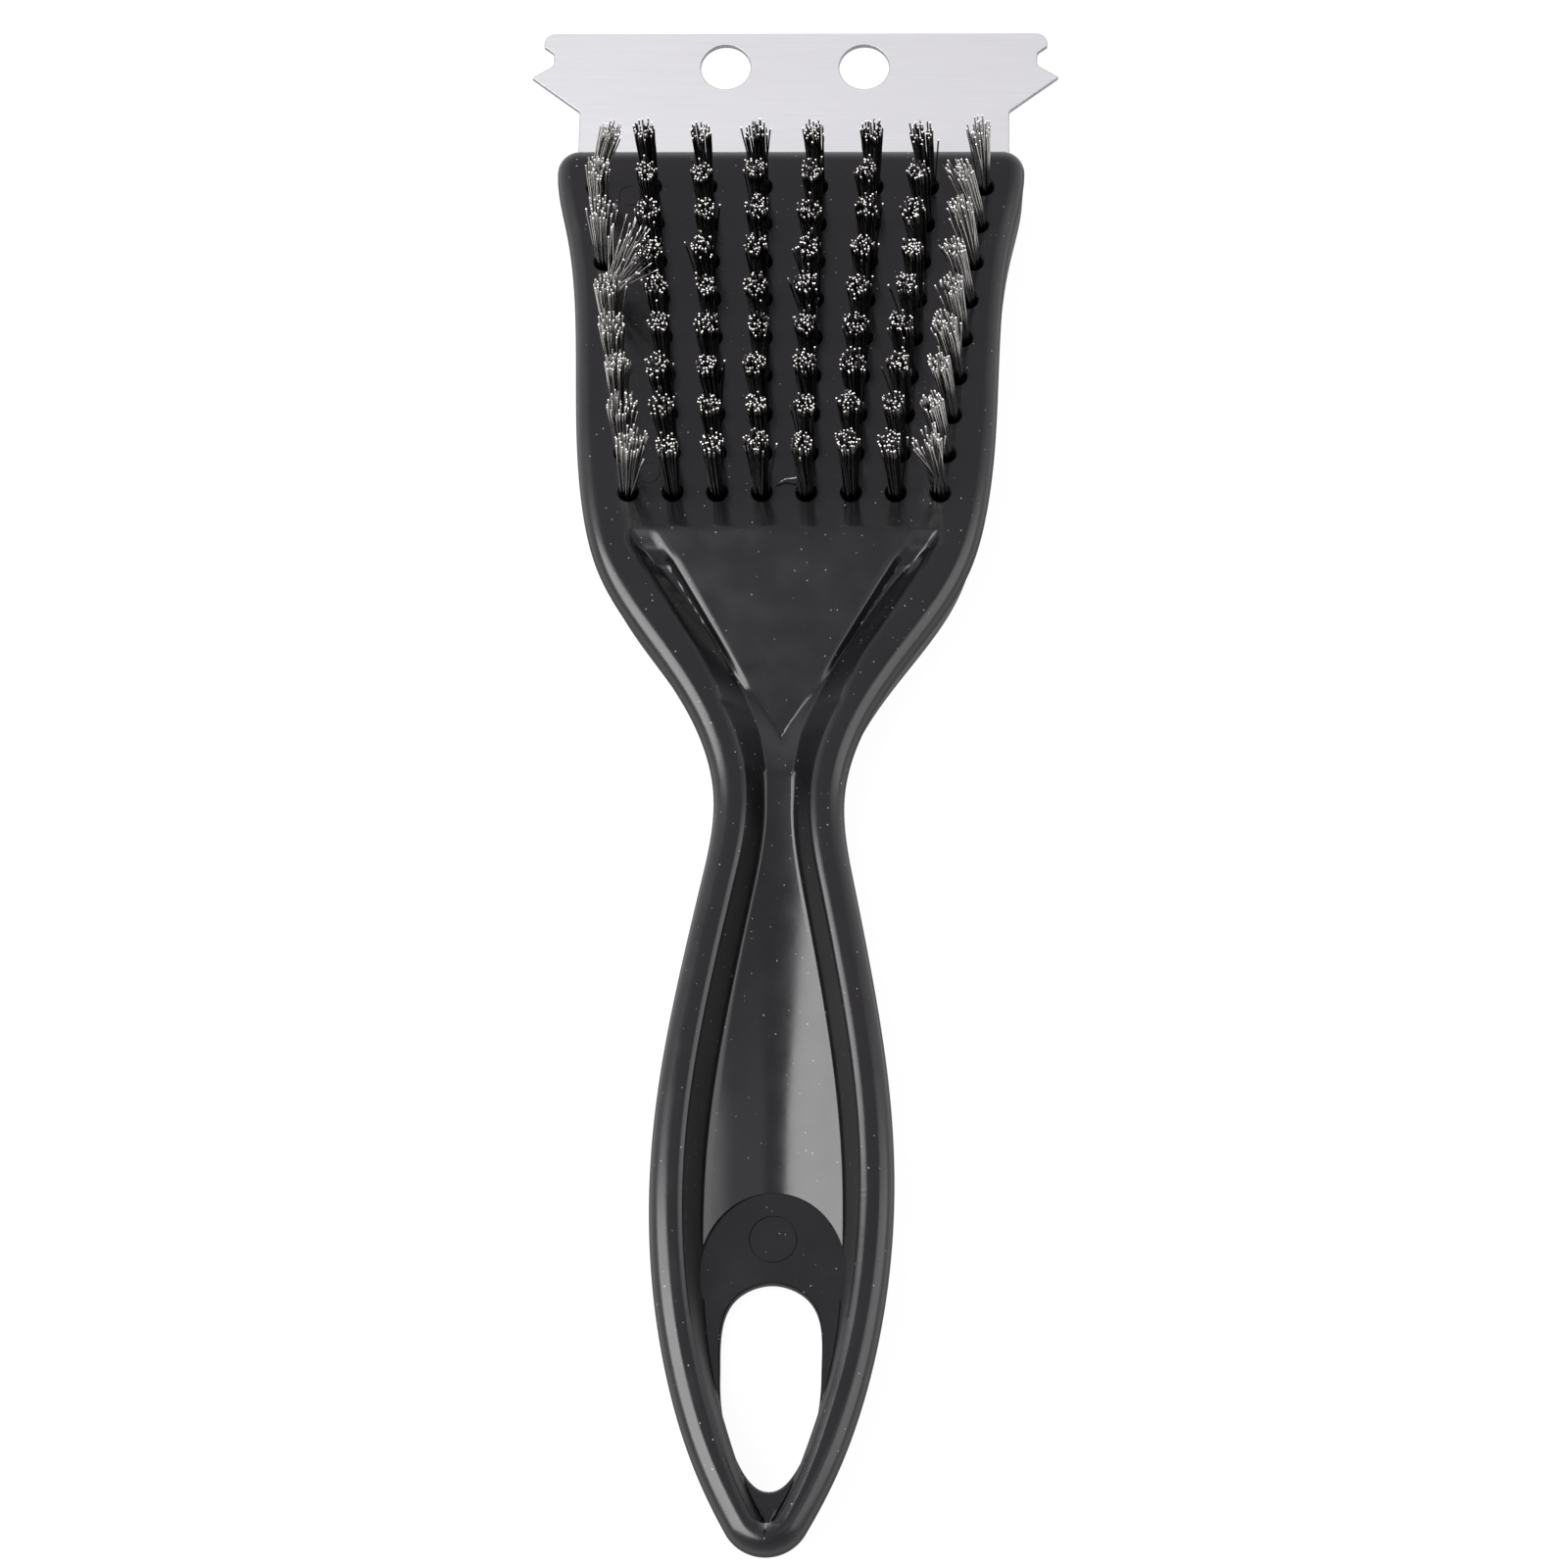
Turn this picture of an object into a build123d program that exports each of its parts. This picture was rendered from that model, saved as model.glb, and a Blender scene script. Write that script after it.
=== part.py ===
"""Grill cleaning brush with a steel scraper, lying on its back.

Frame: +Z points out of the bristle face, +Y along the brush towards the scraper, +X across it.
The origin is at the middle of the overall length and width, on the plane that the back rests on.
All sizes are in millimetres.
"""

import math
import os

from build123d import *

# Lengths along the brush. The neck is the narrowest place between the grip and the shoulders.
grip_length = 98.6  # neck to the end of the handle
shoulder_length = 35.8  # neck to the crease where the bristle face begins
head_length = 56.6  # crease to the front edge of the head
scraper_reach = 23.2  # front edge of the head to the tip of the scraper

# Widths of the moulding, side to side.
head_width = 63.2
waist_width = 53.0  # at the crease
neck_width = 16.9
grip_width = 30.4

# Heights of the moulding.
body_height = 12.5  # flat back to the bristle face, which the bead of the handle is level with
neck_lift = 1.8  # how far the back is hollowed under the neck
end_lift = 3.5  # how far the back turns up at the end of the handle
neck_hollow_length = 62.0
end_rise_length = 22.0
end_rise_slope = 0.35  # of the back at the very end

# Roundings of the moulding.
head_corner_radius = 3.0
nose_radius = 5.6  # end of the handle, seen from above
face_edge_radius = 2.2
back_edge_radius = 3.6

# Shape of the sides as shares: (of the length of that stretch, of the change of width over it).
head_flare = [(0.53, 0.37), (0.78, 0.69)]
shoulder_curve = [(0.251, 0.15), (0.56, 0.532), (0.85, 0.875)]
grip_swell = [(0.13, 0.20), (0.26, 0.57), (0.39, 0.865)]
grip_widest = 0.54  # share of the grip length from the neck
grip_taper = [(0.77, 0.83), (0.89, 0.583)]  # here the second share is of the whole grip width
nose_sweep = 60.0  # degrees of the end's arc on each side
waist_straight = 3.0  # the head keeps its waist width this far past the crease
neck_straight = 0.5  # the narrowest place lies this far behind the neck's middle

# Hollow inside the bead.
bead_width = 4.1
groove_depth = 3.3  # of the grooves in the shoulders, and of the gutter where it starts
gutter_start = 3.0  # past the neck, towards the head
gutter_fall = 0.118  # how fast the gutter deepens towards the end, mm per mm
gutter_radius = 26.0  # its floor across
web_thickness = 2.8  # flat floor around the hang hole
wall_run_neck = 2.7  # how far the gutter's wall leans in, at the neck, the grip and the end
wall_run_grip = 2.0
wall_run_end = 0.6
section_overlap = 0.5  # of the shoulders' hollow into the gutter
hollow_end_gap = 0.9  # from the hollow's last section to the bead's own inner end
hollow_half_least = 0.35  # half widths kept where the hollow closes at the end
gutter_half_least = 0.15
gutter_stations = [-6, -20, -36, -52, -66, -78, -88]  # where its section is set, from the neck

# Scoop between the shoulders.
scoop_slope = 0.174  # fall per mm, from level with the bristle face at the crease
scoop_end = 8.0  # point of the scoop, from the neck
scoop_margin = 1.6  # from the groove's bottom line to the scoop's side
groove_half_crease = 14.9  # groove bottom from the middle line, 5.4 mm short of the crease
groove_half_start = 1.8  # the same where the gutter starts
groove_run_out = 5.4
groove_wall_least = 0.8  # from the groove's bottom line to the bead
scoop_half_least = 0.2
groove_steps = 7  # stretches between the crease and the scoop's point
groove_start_gap = 0.15  # from the crease to the first section

# Hang hole.
hang_hole_top = 62.9  # from the neck, towards the end
hang_hole_length = 26.1
hang_hole_width = 12.5
hang_hole_widest = 0.44  # share of its length from the top
hang_hole_shoulder = (0.72, 1.9)  # share of the half width, and how far from the top
hang_hole_heel = (0.60, 3.4)  # the same from the bottom

# Tufts, their blind holes and staples.
tuft_rows = 9
tuft_columns = 8
row_pitch = 5.65
last_row_gap = 5.1  # crease to the row nearest the handle
column_pitch_back = 5.84  # in the row nearest the handle
column_pitch_front = 7.46  # in the row nearest the scraper: the columns fan out
tuft_hole_diameter = 2.5
tuft_hole_depth = 7.5
tuft_side_clearance = 0.1  # between the bundle and the wall of its hole
tuft_height = 16.0  # above the bristle face
tuft_spread = 0.55  # how much the bundle's radius grows up to its tips
staple_thickness = 0.35
staple_height = 1.6
staple_rise = 0.45  # wire folded under the staple

# Scraper and its screws.
sheet_thickness = 0.8
sheet_neck_width = 59.3  # in front of the head
sheet_tongue_width = 46.0  # seated in the head's back
sheet_tongue_length = 20.0  # how far it reaches under the head
sheet_step_gap = 0.6  # from the head's front edge to where the tongue widens
sheet_side_clearance = 0.25
horn_tip_width = 73.0  # lower horns
notch_back_width = 66.9
notch_front_width = 67.2
horn_top_width = 69.9
sheet_hole_diameter = 6.95
sheet_hole_spacing = 19.2
sheet_hole_set_back = 5.3  # hole centres from the front edge
tip_set_back = 6.9  # lower horn tips from the front edge
notch_back_set_back = 5.0
notch_front_set_back = 3.0
horn_set_back = 2.0
shoulder_set_back = 12.3
horn_corner_radius = 1.5
horn_point_radius = 0.3
notch_corner_radius = 0.8
screw_shank_diameter = 2.6
screw_head_diameter = 5.4
screw_head_height = 1.5
screw_head_rounding = 0.45  # of the head's height
screw_length = 6.0  # below the head
screw_head_clearance = 0.2  # kept free between the head and the resting plane
screw_hole_clearance = 0.4  # added to the diameter of the sheet's screw holes
screw_columns_out = 2  # whole column pitches from the middle, so a screw passes between tufts
screw_rows_in = 1.5  # rows behind the front row
drive_slot_width = 0.8
drive_slot_depth = 0.7
drive_slot_share = 0.62  # of the head's diameter

# How far cuts run past the faces they open, how far joined solids sink into each other, and how
# close a point counts as lying on a line.
cut_past = 1.0
sink = 0.1
near = 0.01
seam_near = 0.1

# Places along the brush, measured from the neck before the origin is set.
crease_y = shoulder_length
front_y = shoulder_length + head_length
tip_y = front_y + scraper_reach
end_y = -grip_length
middle_y = (tip_y + end_y) / 2
row_y = [crease_y + last_row_gap + row_pitch * i for i in range(tuft_rows)]
recess_depth = sheet_thickness + screw_head_height + screw_head_clearance


def along(start, end, share):
    return start + (end - start) * share


def column_pitch(y):
    """Distance between tufts of one row: it grows evenly from the back row to the front one."""
    return along(column_pitch_back, column_pitch_front, (y - row_y[0]) / (row_y[-1] - row_y[0]))


def tuft_spots(row):
    """Centres of the tufts of one row, from left to right."""
    y = row_y[row]
    return [((i - (tuft_columns - 1) / 2) * column_pitch(y), y) for i in range(tuft_columns)]


def side_points():
    """Right side of the moulding from the front corner to the arc at the end."""
    head, waist, neck, grip = (w / 2 for w in (head_width, waist_width, neck_width, grip_width))
    points = [(head, front_y - head_corner_radius)]
    points += [(along(waist, head, w), along(crease_y, front_y, s)) for s, w in reversed(head_flare)]
    points.append((waist, crease_y + waist_straight))
    points += [(along(neck, waist, w), crease_y * s) for s, w in reversed(shoulder_curve)]
    points.append((neck, -neck_straight))
    points += [(along(neck, grip, w), end_y * s) for s, w in grip_swell]
    points.append((grip, end_y * grip_widest))
    points += [(grip * w, end_y * s) for s, w in grip_taper]
    sweep = math.radians(nose_sweep)
    nose = (nose_radius * math.sin(sweep), end_y + nose_radius * (1 - math.cos(sweep)))
    points.append(nose)
    return points


def side_curve():
    sweep = math.radians(nose_sweep)
    return Spline(side_points(), tangents=[(0, -1), (-math.cos(sweep), -math.sin(sweep))])


SIDE = side_curve()


def side_half_width(y):
    """Half width and lean of the side at a place along the brush."""
    low, high = 0.0, 1.0
    for _ in range(40):
        middle = (low + high) / 2
        if (SIDE @ middle).Y > y:
            low = middle
        else:
            high = middle
    point, run = SIDE @ low, SIDE % low
    return point.X, abs(run.X / run.Y)


def bead_inner_half(y):
    """Half width of the hollow at the bead, one bead width in from the side."""
    half, lean = side_half_width(y)
    return max(half - bead_width * math.hypot(1, lean), hollow_half_least)


def outline():
    """Plan of the moulding."""
    half_front = head_width / 2 - head_corner_radius
    right = side_curve()
    end = right @ 1
    corner = RadiusArc((half_front, front_y), right @ 0, head_corner_radius)
    front = Line((-half_front, front_y), (half_front, front_y))
    nose = ThreePointArc(end, (0, end_y), (-end.X, end.Y))
    left = mirror(right, about=Plane.YZ)
    left_corner = mirror(corner, about=Plane.YZ)
    return make_face([front, corner, right, nose, left, left_corner])


def side_profile():
    """The moulding seen from the side: a flat top, a back hollowed under the neck and turned up
    at the end."""
    half_hollow = neck_hollow_length / 2
    back = [
        Line((front_y + cut_past, 0), (half_hollow, 0)),
        Spline((half_hollow, 0), (0, neck_lift), (-half_hollow, 0),
               tangents=[(-1, 0), (-1, 0), (-1, 0)]),
        Line((-half_hollow, 0), (end_y + end_rise_length, 0)),
        Spline((end_y + end_rise_length, 0), (end_y - cut_past, end_lift),
               tangents=[(-1, 0), (-1, end_rise_slope)]),
    ]
    top = Polyline((end_y - cut_past, end_lift), (end_y - cut_past, body_height),
                   (front_y + cut_past, body_height), (front_y + cut_past, 0))
    return Plane.YZ.offset(-head_width) * make_face([*back, *top.edges()])


def hollow_section(y, points):
    """Closed section across the brush at y, mirrored about the middle, from (x, z) points that
    run from the bead down to the middle."""
    above = body_height + cut_past
    right = [(points[0][0], above)] + points
    left = [(-x, z) for x, z in reversed(right) if x > 0]
    return Plane.XZ.offset(-y) * make_face(Polyline(*right, *left, close=True))


def gutter_wall_run(y):
    """How far the wall between the bead and the gutter floor leans in."""
    widest = end_y * grip_widest
    if y > widest:
        return along(wall_run_neck, wall_run_grip, min(1.0, max(0.0, y / widest)))
    return along(wall_run_grip, wall_run_end, (y - widest) / (end_y - widest))


def gutter_section(y):
    """Section of the gutter: leaning walls and a floor that is an arc across."""
    bead = bead_inner_half(y)
    floor = max(bead - gutter_wall_run(y), gutter_half_least)
    middle_z = body_height - groove_depth - gutter_fall * (gutter_start - y)
    floor_z = middle_z + gutter_radius - math.sqrt(gutter_radius**2 - floor**2)
    above = body_height + cut_past
    edges = [
        Line((-bead, above), (-bead, body_height)),
        Line((-bead, body_height), (-floor, floor_z)),
        ThreePointArc((-floor, floor_z), (0, middle_z), (floor, floor_z)),
        Line((floor, floor_z), (bead, body_height)),
        Line((bead, body_height), (bead, above)),
        Line((bead, above), (-bead, above)),
    ]
    return Plane.XZ.offset(-y) * make_face(edges)


def gutter():
    """The hollow along the handle, with the flat floor of the web at its deepest."""
    last = end_y + bead_width + hollow_end_gap
    stations = [gutter_start, *gutter_stations, last]
    hollow = loft([gutter_section(y) for y in stations])
    limit = Box(grip_width, tip_y - end_y, 2 * body_height,
                align=(Align.CENTER, Align.CENTER, Align.MIN))
    return hollow & Pos(0, middle_y, web_thickness) * limit


def groove_bottom_half(y):
    """Groove's bottom line from the middle: straight, and then easing into the gutter's edge."""
    run_out_y = crease_y - groove_run_out
    share = (y - gutter_start) / (run_out_y - gutter_start)
    return along(groove_half_start, groove_half_crease, share)


def scoop_floor_z(y):
    """Falls evenly from the crease to the scoop's point, and rises again to the gutter's floor."""
    point_z = body_height - scoop_slope * (crease_y - scoop_end)
    if y < scoop_end:
        share = (scoop_end - y) / (scoop_end - gutter_start)
        return along(point_z, body_height - groove_depth, min(1.0, share))
    return body_height - scoop_slope * (crease_y - y)


def shoulder_section(y):
    """Section of one shoulder's groove and half of the scoop, mirrored about the middle."""
    bead = bead_inner_half(y)
    line = min(groove_bottom_half(y), bead - groove_wall_least)
    run_out = min(1.0, (crease_y - y) / groove_run_out)
    line_z = body_height - groove_depth * math.sqrt(run_out)
    floor_z = scoop_floor_z(y)
    side = max(line - scoop_margin, scoop_half_least)
    points = [(bead, body_height), (line, line_z), (side, floor_z)]
    return hollow_section(y, points)


def shoulders_hollow():
    """Grooves along the beads and the sloping scoop between them."""
    first = crease_y - groove_start_gap
    grooves = [along(first, scoop_end, i / groove_steps) for i in range(groove_steps + 1)]
    stations = grooves + [gutter_start, gutter_start - section_overlap]
    return loft([shoulder_section(y) for y in stations], ruled=True)


def half_egg():
    """Right half of the hang hole, wide at the top."""
    half = hang_hole_width / 2
    top, bottom = -hang_hole_top, -hang_hole_top - hang_hole_length
    widest = along(top, bottom, hang_hole_widest)
    shoulder = (half * hang_hole_shoulder[0], top - hang_hole_shoulder[1])
    heel = (half * hang_hole_heel[0], bottom + hang_hole_heel[1])
    return [
        Spline((0, top), shoulder, (half, widest), tangents=[(1, 0), (0, -1)]),
        Spline((half, widest), heel, (0, bottom), tangents=[(0, -1), (-1, 0)]),
    ]


def hang_hole():
    right = half_egg()
    left = [mirror(edge, about=Plane.YZ) for edge in right]
    return extrude(make_face([*right, *left]), body_height)


def on_side(point):
    """True on the moulding's outline, false on a seam across its back."""
    if point.Y > front_y - head_corner_radius or point.Y < (SIDE @ 1).Y:
        return abs(point.X) > seam_near or point.Y > front_y - seam_near
    return abs(abs(point.X) - side_half_width(point.Y)[0]) < seam_near


def screw_spots():
    """Places of the two scraper screws, midway between tufts."""
    y = row_y[-1] - screw_rows_in * row_pitch
    x = screw_columns_out * column_pitch(y)
    return [(-x, y), (x, y)]


def posts(spots, diameter, low, high):
    """Round posts between two heights, one at each spot."""
    radius, height = diameter / 2, high - low
    return [Pos(x, y, low + height / 2) * Cylinder(radius, height) for x, y in spots]


def handle():
    """Handle and head, one moulding."""
    body = extrude(outline(), body_height) & extrude(side_profile(), 2 * head_width)
    rim = body.edges().filter_by_position(Axis.Z, body_height - near, body_height + near)
    body = fillet(rim, face_edge_radius)
    back = [e for e in body.edges() if (e @ 0.5).Z < end_lift + cut_past / 2 and on_side(e @ 0.5)]
    body = fillet(back, back_edge_radius)
    body = body - gutter() - shoulders_hollow() - hang_hole()
    seat_width = sheet_tongue_width + 2 * sheet_side_clearance
    seat_back = front_y - sheet_tongue_length - sheet_side_clearance
    seat = Box(seat_width, front_y - seat_back + cut_past, recess_depth,
               align=(Align.CENTER, Align.MIN, Align.MIN))
    hole_floor = body_height - tuft_hole_depth
    holes = [hole for row in range(tuft_rows)
             for hole in posts(tuft_spots(row), tuft_hole_diameter, hole_floor, body_height + cut_past)]
    pilots = posts(screw_spots(), screw_shank_diameter, recess_depth - sink, screw_tip_z())
    return body - Pos(0, seat_back, 0) * seat - holes - pilots


def screw_tip_z():
    return recess_depth + screw_length


def scraper_outline():
    """Right side of the sheet from its seated end to the middle of its front edge."""
    tongue, neck = sheet_tongue_width / 2, sheet_neck_width / 2
    return [
        (tongue, front_y - sheet_tongue_length),
        (tongue, front_y + sheet_step_gap),
        (neck, front_y + sheet_step_gap),
        (neck, tip_y - shoulder_set_back),
        (horn_tip_width / 2, tip_y - tip_set_back),
        (notch_back_width / 2, tip_y - notch_back_set_back),
        (notch_front_width / 2, tip_y - notch_front_set_back),
        (horn_top_width / 2, tip_y - horn_set_back),
        (horn_top_width / 2, tip_y),
    ]


def scraper():
    """Stamped sheet, seated in the head's back with its horns past the front."""
    right = scraper_outline()
    left = [(-x, y) for x, y in reversed(right)]
    face = make_face(Polyline(*right, *left, close=True))
    roundings = [(notch_back_set_back, notch_corner_radius), (notch_front_set_back, notch_corner_radius),
                 (horn_set_back, horn_point_radius), (0, horn_corner_radius)]
    for set_back, radius in roundings:
        corners = face.vertices().filter_by(lambda v: abs(v.Y - (tip_y - set_back)) < near)
        face = fillet(corners, radius)
    sheet = Pos(0, 0, recess_depth - sheet_thickness) * extrude(face, sheet_thickness)
    y = tip_y - sheet_hole_set_back
    rounds = [(-sheet_hole_spacing / 2, y), (sheet_hole_spacing / 2, y)]
    cuts = posts(rounds, sheet_hole_diameter, 0, body_height)
    screw_hole = screw_shank_diameter + screw_hole_clearance
    return sheet - cuts - posts(screw_spots(), screw_hole, 0, body_height)


def scraper_screws():
    """Two pan-head self-tapping screws, driven from the back."""
    seat_z = recess_depth - sheet_thickness
    head = Cylinder(screw_head_diameter / 2, screw_head_height)
    head = fillet(head.edges().group_by(Axis.Z)[0], screw_head_height * screw_head_rounding)
    slot_length = screw_head_diameter * drive_slot_share
    slots = [Box(slot_length, drive_slot_width, 2 * drive_slot_depth),
             Box(drive_slot_width, slot_length, 2 * drive_slot_depth)]
    screws = []
    for x, y in screw_spots():
        top = Pos(x, y, seat_z - screw_head_height / 2) * head
        cross = [Pos(x, y, seat_z - screw_head_height) * slot for slot in slots]
        shank = posts([(x, y)], screw_shank_diameter, seat_z - sink, screw_tip_z())
        screws.append(top + shank - cross)
    return screws


def staples(row):
    """Flat staples across the folds of one row's tufts, as wide as fits their holes."""
    hole = tuft_hole_diameter
    width = math.sqrt(hole**2 - staple_thickness**2)
    low = body_height - tuft_hole_depth + staple_rise
    plate = Box(width, staple_thickness, staple_height, align=(Align.CENTER, Align.CENTER, Align.MIN))
    return [Pos(x, y, low) * plate for x, y in tuft_spots(row)]


def tufts(row):
    """Bundles of wire in one row, folded under their staples and spreading above the face."""
    radius = tuft_hole_diameter / 2 - tuft_side_clearance
    low = body_height - tuft_hole_depth
    root = Cylinder(radius, tuft_hole_depth, align=(Align.CENTER, Align.CENTER, Align.MIN))
    spread = Cone(radius, radius + tuft_spread, tuft_height,
                  align=(Align.CENTER, Align.CENTER, Align.MIN))
    bundle = root + Pos(0, 0, tuft_hole_depth) * spread
    spots = tuft_spots(row)
    return [Pos(x, y, low) * bundle - staple for (x, y), staple in zip(spots, staples(row))]


def write(name, solids):
    """One STEP per node, moved so that the origin is at the middle of the whole brush."""
    moved = [Pos(0, -middle_y, 0) * solid for solid in solids]
    export_step(moved[0] if len(moved) == 1 else Compound(children=moved), f"parts/{name}.step")


os.makedirs("parts", exist_ok=True)
write("handle", [handle()])
write("scraper", [scraper()])
write("scraper_screws", scraper_screws())
for row in range(tuft_rows):
    write(f"tuft_row_{row + 1}", tufts(row))
    write(f"staple_row_{row + 1}", staples(row))
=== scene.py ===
"""Grill cleaning brush with a steel scraper, lying on its back: the look of every piece.

Lengths in this script are millimetres and y is measured along the brush from its neck, as in the
model's own source. place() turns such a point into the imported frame, in metres.
"""

import math
import random

import bmesh
import bpy
import numpy as np
from mathutils import Matrix, Vector


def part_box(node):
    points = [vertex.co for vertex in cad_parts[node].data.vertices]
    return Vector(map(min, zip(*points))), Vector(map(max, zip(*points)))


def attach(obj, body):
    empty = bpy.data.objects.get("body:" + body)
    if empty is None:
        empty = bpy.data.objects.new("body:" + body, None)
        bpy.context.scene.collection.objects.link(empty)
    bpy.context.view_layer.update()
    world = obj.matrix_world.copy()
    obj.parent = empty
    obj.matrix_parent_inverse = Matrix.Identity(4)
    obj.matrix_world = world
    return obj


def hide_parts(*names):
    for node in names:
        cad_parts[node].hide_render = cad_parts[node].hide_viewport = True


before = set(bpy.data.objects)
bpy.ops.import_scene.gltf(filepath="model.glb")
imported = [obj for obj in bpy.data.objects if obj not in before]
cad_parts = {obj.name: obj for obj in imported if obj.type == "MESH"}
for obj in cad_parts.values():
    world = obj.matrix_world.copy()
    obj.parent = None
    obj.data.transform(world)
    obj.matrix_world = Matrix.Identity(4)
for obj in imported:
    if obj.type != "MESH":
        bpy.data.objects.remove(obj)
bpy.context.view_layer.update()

MM = 0.001


def corner_in_mm(node, end):
    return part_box(node)[end] / MM


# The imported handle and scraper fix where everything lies.
handle_low, handle_high = corner_in_mm("handle", 0), corner_in_mm("handle", 1)
scraper_low, scraper_high = corner_in_mm("scraper", 0), corner_in_mm("scraper", 1)
grip_length = 98.6
neck_in_frame = handle_low.y + grip_length
end_y = -grip_length
front_y = handle_high.y - neck_in_frame
tip_y = scraper_high.y - neck_in_frame
body_height = handle_high.z

# Widths and lengths of the moulding.
crease_y = 35.8  # the bristle face begins here
head_half, waist_half, neck_half, grip_half = 31.6, 26.5, 8.45, 15.2
head_corner = 3.0
nose_radius, nose_sweep = 5.6, math.radians(60)
grip_widest = 0.54  # share of the grip's length
waist_straight, neck_straight = 3.0, 0.5
# (share of the way along, share of the way out) over each stretch of the side
head_flare = [(0.78, 0.69), (0.53, 0.37)]
shoulder_curve = [(0.85, 0.875), (0.56, 0.532), (0.251, 0.15)]
grip_swell = [(0.13, 0.20), (0.26, 0.57), (0.39, 0.865)]
grip_taper = [(0.77, 0.83), (0.89, 0.583)]  # here the second share is of the whole grip's half
neck_lift, neck_hollow_half = 1.8, 31.0
end_lift, end_rise = 3.5, 22.0

# The bead round the handle, in section.
bead_outer_radius = 2.3
bead_crease = 4.4  # from the side to the crease inside the bead
bead_crease_end = 3.8  # the same at the end of the handle
bead_inner_radius = 1.6
bead_inner_reach = 1.1  # how far the inner rounding runs, from the bead's flat crest to the crease
back_radius = 2.8
head_draft, handle_draft = 0.15, 1.1  # how far the side leans in down to the back
draft_change = (crease_y - 6, crease_y + 30)
crease_change = (80, 95)  # below the neck, where the bead narrows towards its end
# The mould's parting line stands out by the ridge, and the side steps in a little below it.
parting_ridge, ridge_step = 0.05, 0.03
ridge_top, ridge_foot = 0.12, 0.3  # down from the bead's widest line

# The hollow inside the bead: a gutter down the grip, and a flat scoop with a groove on each side of
# it between the shoulders.
crease_ramp = (33.0, 35.7)  # the bead's inner rounding fades out between these
# (y, depth of the groove beside the scoop), from the gutter up to the groove's blunt end
groove_depths = [(3, 3.4), (8, 3.6), (12, 3.9), (17, 3.8), (20, 3.6), (23, 3.3), (27.5, 2.7),
                 (30, 2.3), (31.3, 2.0), (32.2, 1.2), (33.3, 0.6), (34.5, 0.35), (35.7, 0)]
gutter_start, gutter_depth, gutter_fall = 3.0, 3.4, 0.1155
# (y, radius of the gutter's floor across)
gutter_radii = [(-96, 23), (-44, 24), (-27, 36), (-12, 46), (3, 50)]
web_z = 2.8  # top of the web round the hang hole
web_start = gutter_start - (body_height - gutter_depth - web_z) / gutter_fall
web_recess = 0.08  # how far the web's end lies below the gutter's floor
arch_half, arch_length, arch_tail = 9.3, 11.0, 13.5  # the web's end is half an ellipse
scoop_slope, scoop_end = 0.18, 8.0
plate_spread = 0.61  # half width of the scoop's flat plate per mm from its point
groove_inner = 0.7  # from the plate's edge to the groove's flat bottom
least_groove_wall = 0.5
# (y, how far the wall runs in from the crease to the hollow's bottom)
wall_runs = [(-96, 1.6), (-88, 1.0), (-76, 0.9), (-52, 1.8), (-37, 1.9), (-12, 1.9), (-0.8, 2.1),
             (3, 2.5), (8, 2.9), (12.6, 3.3), (36, 3.0)]
# (y, width of the groove's flat bottom, width of the wall beyond it) towards the blunt end
groove_widths = [(10, 0.05, 4.2), (14, 0.05, 3.5), (18, 0.1, 3.1), (23, 0.3, 2.9), (27.5, 0.7, 2.4),
                 (29.5, 1.0, 2.0), (31.3, 1.6, 1.4), (32.3, 2.0, 0.9), (33.3, 2.3, 0.6), (36, 2.3, 0.5)]
# (y, half width of the groove's bottom line while it eases into the gutter)
groove_easing = [(3, 1.6), (8, 2.5), (12.6, 4.1), (18.6, 7.2)]

# Hang hole. Its shoulder and heel are (share of its half width, distance from its end).
hole_top, hole_length, hole_half, hole_widest = -62.9, 26.1, 6.25, 0.44
hole_shoulder, hole_heel = (0.72, 1.9), (0.60, 3.4)
hole_rim, hole_back = 0.5, 1.6  # roundings of its edge on the web's top and back

# Rings left in the faces by the mould: (x, y, height of the face, diameter)
mould_rings = [(0.0, -57.2, web_z - web_recess, 5.95), (-21.5, 84.7, body_height, 2.9),
               (-17.8, 43.7, body_height, 2.9)]

# Tufts.
tuft_rows, tuft_columns = 9, 8
row_pitch, last_row_gap = 5.65, 5.1
pitch_back, pitch_front = 5.84, 7.46
tuft_hole_radius, tuft_hole_depth = 1.25, 7.5
tuft_hole_lead_in = 0.22
row_y = [crease_y + last_row_gap + row_pitch * i for i in range(tuft_rows)]

# The scraper's seat in the back of the head, and the pilots of its screws.
seat_half, seat_length, seat_depth, seat_corner = 23.25, 20.25, 2.5, 0.8
pilot_radius, pilot_depth, pilot_start = 1.3, 6.0, 0.5
cut_past = 1.0  # how far a cutter runs on past the face that it opens


# ---------------------------------------------------------------- helpers for shape

def place(x, y, z):
    """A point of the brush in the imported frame."""
    return Vector((x, y + neck_in_frame, z)) * MM


def mix(a, b, share):
    return a + (b - a) * share


def eased(low, high, value):
    """0 up to low, 1 from high, with a smooth climb between."""
    share = min(1.0, max(0.0, (value - low) / (high - low)))
    return share * share * (3 - 2 * share)


def hermite(s, length, start, stop, start_slope, stop_slope):
    """Value at share s of a stretch between two values, with the slopes given at both ends."""
    return ((2 * s**3 - 3 * s**2 + 1) * start + (s**3 - 2 * s**2 + s) * length * start_slope
            + (3 * s**2 - 2 * s**3) * stop + (s**3 - s**2) * length * stop_slope)


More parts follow.
